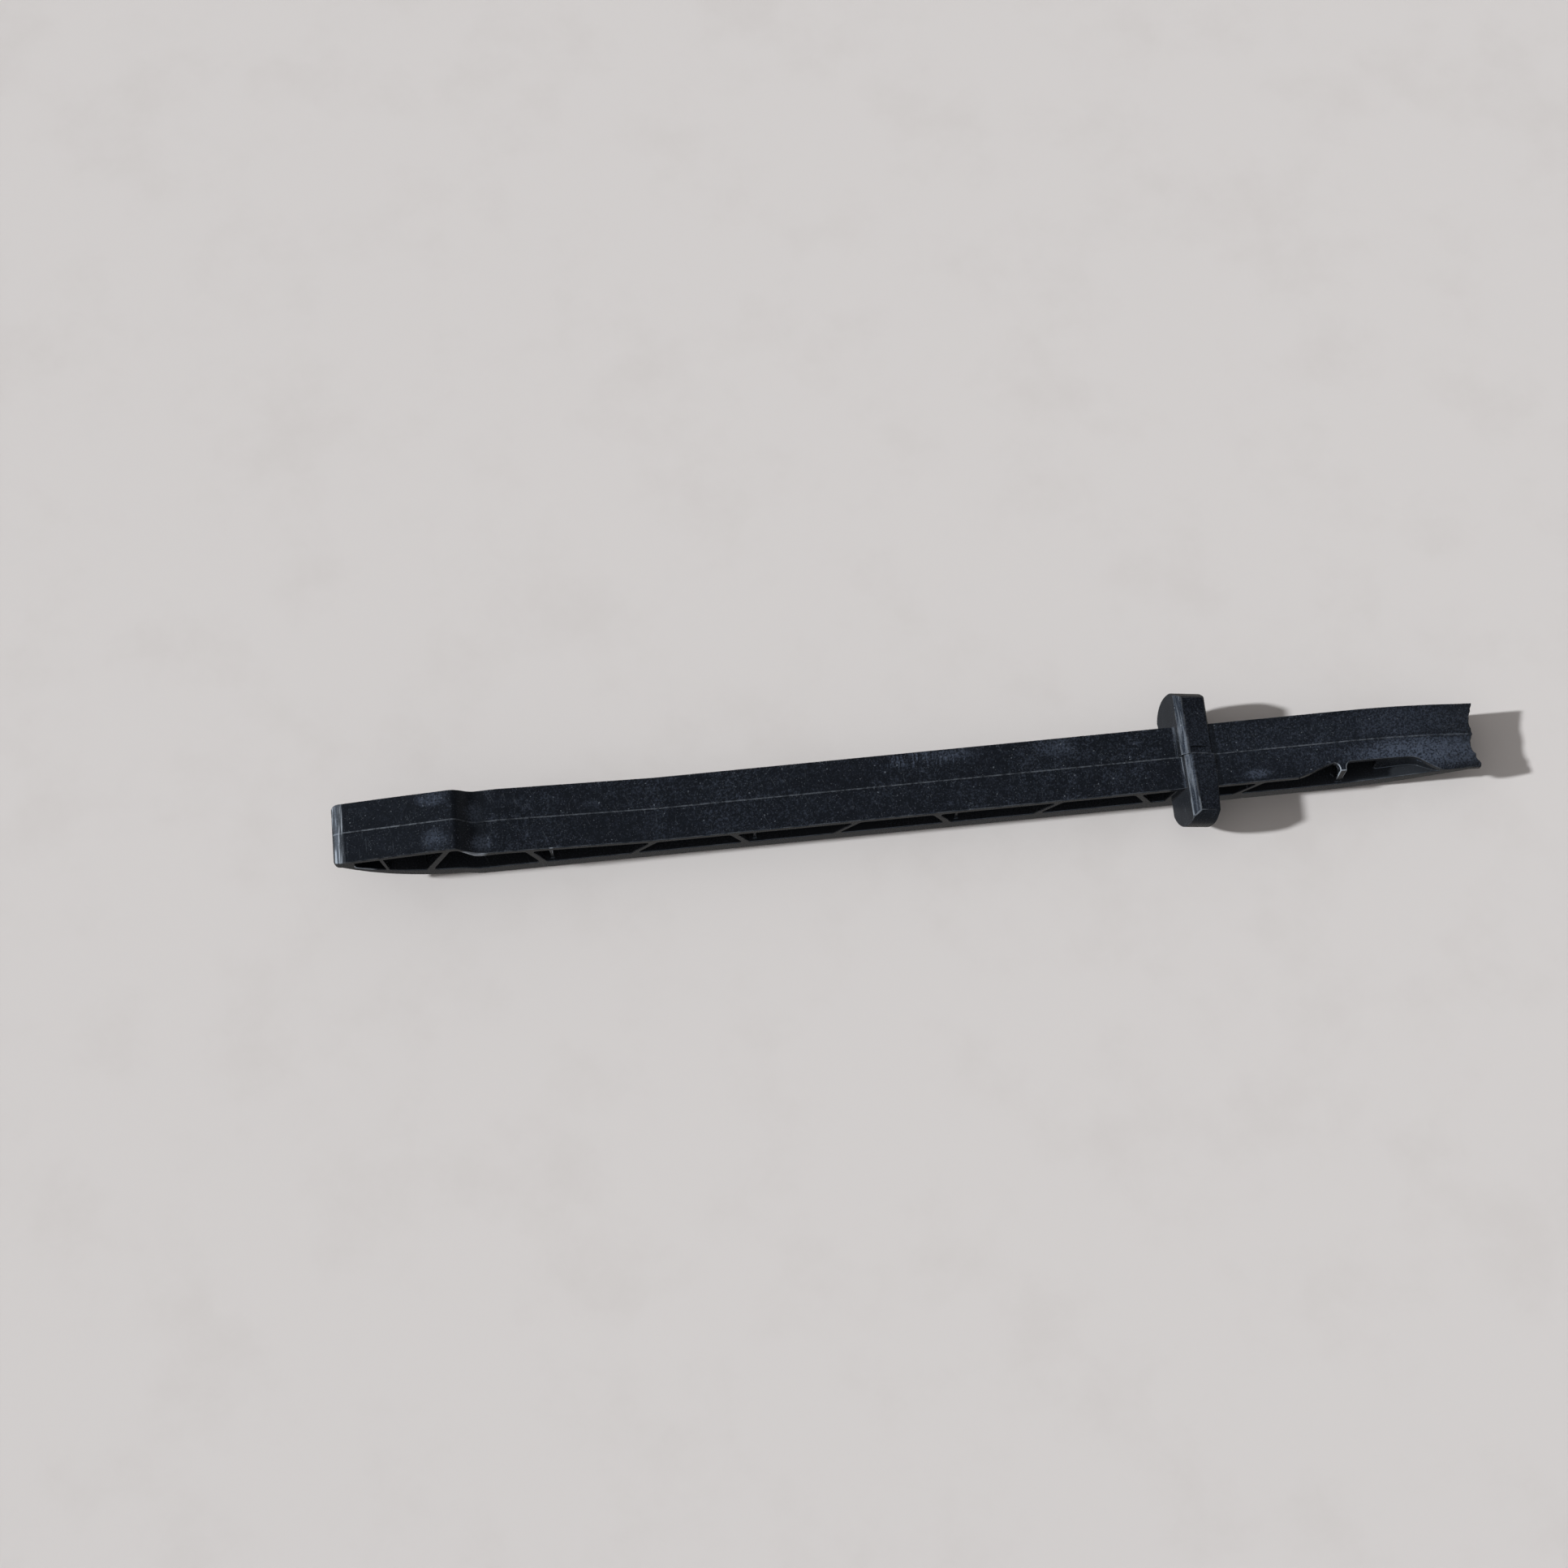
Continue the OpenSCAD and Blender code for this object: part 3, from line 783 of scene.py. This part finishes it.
@dataclass
class Stage:
    """Pale floor that curves up into a low wall all round."""

    flat_reach: float = 3.2
    cove_radius: float = 0.8
    wall_height: float = 0.85
    cove_steps: int = 12
    segments: int = 96
    merge_distance: float = 1e-5

    def build(self) -> bpy.types.Object:
        """Builds the floor by turning its outline about Z.

        Returns:
            The floor.
        """
        mesh = bmesh.new()
        middle = mesh.verts.new((0.0, 0.0, 0.0))
        rim = mesh.verts.new((self.flat_reach, 0.0, 0.0))
        mesh.edges.new((middle, rim))
        centre = Vector((self.flat_reach, 0.0, self.cove_radius))
        cove = bmesh.ops.spin(
            mesh,
            geom=[rim],
            cent=centre,
            axis=(0.0, -1.0, 0.0),
            angle=math.radians(90.0),
            steps=self.cove_steps,
        )
        last = next(v for v in cove["geom_last"] if isinstance(v, bmesh.types.BMVert))
        top = mesh.verts.new(last.co + Vector((0.0, 0.0, self.wall_height - self.cove_radius)))
        mesh.edges.new((last, top))
        bmesh.ops.spin(
            mesh,
            geom=list(mesh.verts) + list(mesh.edges),
            cent=(0.0, 0.0, 0.0),
            axis=(0.0, 0.0, 1.0),
            angle=math.radians(360.0),
            steps=self.segments,
            use_merge=True,
        )
        bmesh.ops.remove_doubles(mesh, verts=mesh.verts, dist=self.merge_distance)
        bmesh.ops.recalc_face_normals(mesh, faces=mesh.faces)
        if sum(f.normal.z * f.calc_area() for f in mesh.faces) < 0:
            bmesh.ops.reverse_faces(mesh, faces=mesh.faces)
        data = bpy.data.meshes.new("floor")
        mesh.to_mesh(data)
        mesh.free()
        data.shade_smooth()
        floor = bpy.data.objects.new("floor", data)
        bpy.context.scene.collection.objects.link(floor)
        data.materials.append(PaleFloor().make())
        floor.visible_glossy = False
        LOG.info("%s: %d faces", floor.name, len(data.polygons))
        return floor


def direction(azimuth: float, elevation: float) -> Vector:
    """Unit vector toward a lamp.

    Args:
        azimuth: Angle about Z from +X, in degrees.
        elevation: Angle above the floor, in degrees.

    Returns:
        The vector.
    """
    turn = math.radians(azimuth)
    rise = math.radians(elevation)
    flat = math.cos(rise)
    return Vector((flat * math.cos(turn), flat * math.sin(turn), math.sin(rise)))


@dataclass(frozen=True)
class KeyLamp:
    """The far lamp from the nose end that throws the shadows."""

    azimuth: float = 178.5
    elevation: float = 29.3
    strength: float = 4.3
    spread: float = math.radians(3.2)
    colour: Colour = (0.985, 1.0, 1.01)

    def build(self) -> None:
        """Adds the lamp."""
        light = bpy.data.lights.new("key_lamp", "SUN")
        light.energy = self.strength
        light.angle = self.spread
        light.color = self.colour
        holder = bpy.data.objects.new("key_lamp", light)
        bpy.context.scene.collection.objects.link(holder)
        toward = direction(self.azimuth, self.elevation)
        holder.location = toward
        holder.rotation_euler = (-toward).to_track_quat("-Z", "Y").to_euler()
        holder.visible_glossy = False
        LOG.info("key lamp")


@dataclass(frozen=True)
class Card:
    """A bright card that only shows in the gloss of a surface."""

    name: str
    azimuth: float
    elevation: float
    distance: float
    width: float
    height: float
    power: float
    colour: Colour = (0.94, 0.98, 1.0)

    def build(self) -> None:
        """Adds the card, which points at the middle of the rail."""
        light = bpy.data.lights.new(self.name, "AREA")
        light.shape = "ELLIPSE"
        light.size = self.width
        light.size_y = self.height
        light.energy = self.power
        light.color = self.colour
        holder = bpy.data.objects.new(self.name, light)
        bpy.context.scene.collection.objects.link(holder)
        toward = direction(self.azimuth, self.elevation)
        holder.location = self.distance * toward
        holder.rotation_euler = (-toward).to_track_quat("-Z", "Y").to_euler()
        holder.visible_camera = False
        holder.visible_diffuse = False
        LOG.info("%s", self.name)


@dataclass(frozen=True)
class Lighting:
    """The key lamp, the cards and a dome that is brighter on the lamp's side and dim below."""

    bright_dome: Colour = (0.533, 0.512, 0.498)
    dim_dome: Colour = (0.133, 0.128, 0.124)
    below: Colour = (0.21, 0.20, 0.19)
    key: KeyLamp = KeyLamp()
    cards: tuple[Card, ...] = (
        Card("nose_card", 165.0, 32.0, 1.6, 0.9, 0.9, 4.4),
        Card("front_card", 278.0, 45.0, 1.5, 0.8, 0.8, 3.2),
    )

    def build(self) -> None:
        """Adds the lamps and the dome."""
        s = Shader(bpy.data.worlds.new("dome"))
        toward = s.node("ShaderNodeTexCoord", output="Generated")
        across = 0.5 + 0.5 * s.axis(toward, "X")
        colour = s.mix(across, (*self.bright_dome, 1.0), (*self.dim_dome, 1.0))
        under = 1.0 - s.step(s.axis(toward, "Z"), -0.15, 0.05)
        colour = s.mix(under, colour, (*self.below, 1.0))
        bpy.context.scene.world = s.finish(s.node("ShaderNodeBackground", None, {"Color": colour}))
        self.key.build()
        for card in self.cards:
            card.build()
        LOG.info("dome")


@dataclass(frozen=True)
class Viewpoint:
    """The camera, at the place from which the object is seen."""

    place: Point = (-0.0463, -0.1922, 0.5698)
    right: Point = (0.99470, -0.10279, 0.0)
    up: Point = (0.09701, 0.93880, 0.33051)
    lens: float = 65.22
    sensor: float = 36.0
    near_clip: float = 0.01

    def build(self) -> None:
        """Adds the camera and makes it the scene's own."""
        data = bpy.data.cameras.new("camera")
        data.lens = self.lens
        data.sensor_width = self.sensor
        data.clip_start = self.near_clip
        camera = bpy.data.objects.new("camera", data)
        bpy.context.scene.collection.objects.link(camera)
        right = Vector(self.right).normalized()
        up = Vector(self.up).normalized()
        turn = Matrix((right, up, right.cross(up))).transposed()
        camera.matrix_world = Matrix.Translation(self.place) @ turn.to_4x4()
        bpy.context.scene.camera = camera
        LOG.info("camera")


def main() -> None:
    """Builds the scene piece by piece."""
    logging.basicConfig(level=logging.INFO, format="%(message)s")
    bpy.context.scene.view_settings.view_transform = "Standard"
    Viewpoint().build()
    Stage().build()
    Lighting().build()
    GuideRail().build()


if __name__ == "__main__":
    main()
